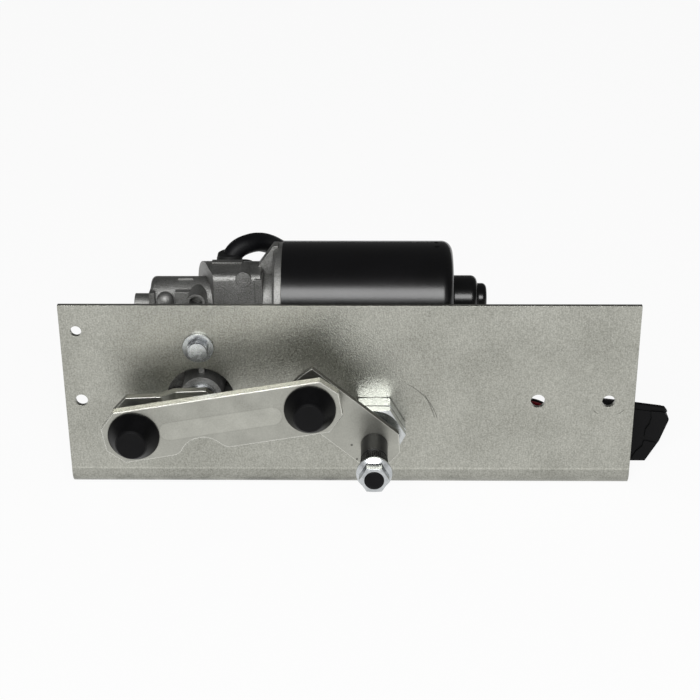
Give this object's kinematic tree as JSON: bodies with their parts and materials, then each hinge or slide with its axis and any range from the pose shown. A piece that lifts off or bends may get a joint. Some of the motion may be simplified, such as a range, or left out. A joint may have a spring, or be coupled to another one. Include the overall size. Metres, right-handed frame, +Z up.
{
  "type": "windscreen wiper motor and linkage on its bracket",
  "caption": "Wiper motor with a worm gearbox on a bent sheet bracket, driving a crank, a ball-jointed link, a lever and a wiper spindle, with a cable and connector.",
  "frame": {"origin": "middle of the underside of the bracket's foot", "axes": "+X along the bracket away from the gearbox, +Y from the bracket's face to its foot's edge, +Z up"},
  "size_m": [0.3248, 0.1489, 0.1246],
  "materials": {
    "zinc_plate": "warm grey zinc plating, satin and faintly mottled",
    "bright_zinc": "bright bluish zinc, smooth",
    "cast_alloy": "raw die-cast alloy, grainy",
    "can_black": "gloss black paint",
    "spindle_black": "black satin steel",
    "matt_black": "matt black moulding",
    "rubber_black": "soft black rubber",
    "loom_black": "black woven sleeve",
    "red_insulation": "red wire insulation",
    "black_insulation": "dark wire insulation",
    "steel": "plain turned steel",
    "bronze": "sintered bronze",
    "wheel_plastic": "natural moulded acetal",
    "copper": "enamelled copper",
    "ferrite": "dark ferrite",
    "contact_brass": "bright brass strip",
    "board": "pressed insulating board",
    "carbon": "pressed carbon"
  },
  "bodies": {
    "frame": {"bracket": "zinc_plate", "gearbox_housing": "cast_alloy", "case_gasket": "rubber_black", "gearbox_cover": "cast_alloy", "cover_screws": "bright_zinc", "output_bush": "bronze", "shaft_washer": "bright_zinc", "park_contacts": "contact_brass", "motor_can": "can_black", "can_screws": "bright_zinc", "magnets": "ferrite", "brush_plate": "board", "brushes": "carbon", "brush_holders": "contact_brass", "brush_springs": "steel", "front_bearing": "steel", "bearing_clip": "steel", "rear_bearing": "bronze", "tip_bush": "bronze", "thrust_pad": "steel", "bolt_washers": "bright_zinc", "motor_bolts": "bright_zinc", "pivot_housing": "bright_zinc", "pivot_nut": "bright_zinc", "pivot_locknut": "bright_zinc", "pivot_bushes": "bronze", "pivot_seal": "rubber_black", "cable_grommet": "rubber_black", "loom_sleeve": "loom_black", "red_wire": "red_insulation", "dark_wires": "black_insulation", "connector_body": "matt_black", "terminals": "contact_brass", "connector_latch": "matt_black"},
    "crank": {"output_shaft": "steel", "worm_wheel": "wheel_plastic", "park_disc": "contact_brass", "shaft_clip": "steel", "crank_arm": "zinc_plate", "crank_rivet": "bright_zinc", "crank_nut": "bright_zinc"},
    "armature": {"armature_shaft": "steel", "armature_core": "steel", "windings": "copper", "commutator": "copper", "bearing_race": "steel"},
    "lever_arm": {"lever": "zinc_plate", "wiper_spindle": "spindle_black", "spindle_nut": "bright_zinc", "spindle_washers": "bright_zinc", "spindle_clip": "steel", "lever_ball_stud": "steel"},
    "link_bar": {"link": "zinc_plate", "ball_sockets": "matt_black", "ball_caps": "matt_black", "crank_ball_stud": "steel", "dust_boots": "rubber_black"}
  },
  "joints": [
    {"name": "crank_spin", "type": "hinge", "parent": "frame", "child": "crank", "pos_m": [-0.0784, -0.035, 0.0525], "axis": [0, 1, 0], "continuous": true},
    {"name": "armature_spin", "type": "hinge", "parent": "frame", "child": "armature", "pos_m": [0, 0.005, 0.0933], "axis": [1, 0, 0], "continuous": true},
    {"name": "spindle_swing", "type": "hinge", "parent": "frame", "child": "lever_arm", "pos_m": [0.0131, -0.035, 0.0392], "axis": [0, 1, 0], "range_deg": [0, 90]},
    {"name": "link_pivot", "type": "hinge", "parent": "lever_arm", "child": "link_bar", "pos_m": [-0.01909, -0.035, 0.06649], "axis": [0, 1, 0], "range_deg": [-90, 0]}
  ],
  "couplings": [
    {"joint": "armature_spin", "follows": "crank_spin", "ratio": -60},
    {"joint": "link_pivot", "follows": "spindle_swing", "ratio": -1}
  ]
}
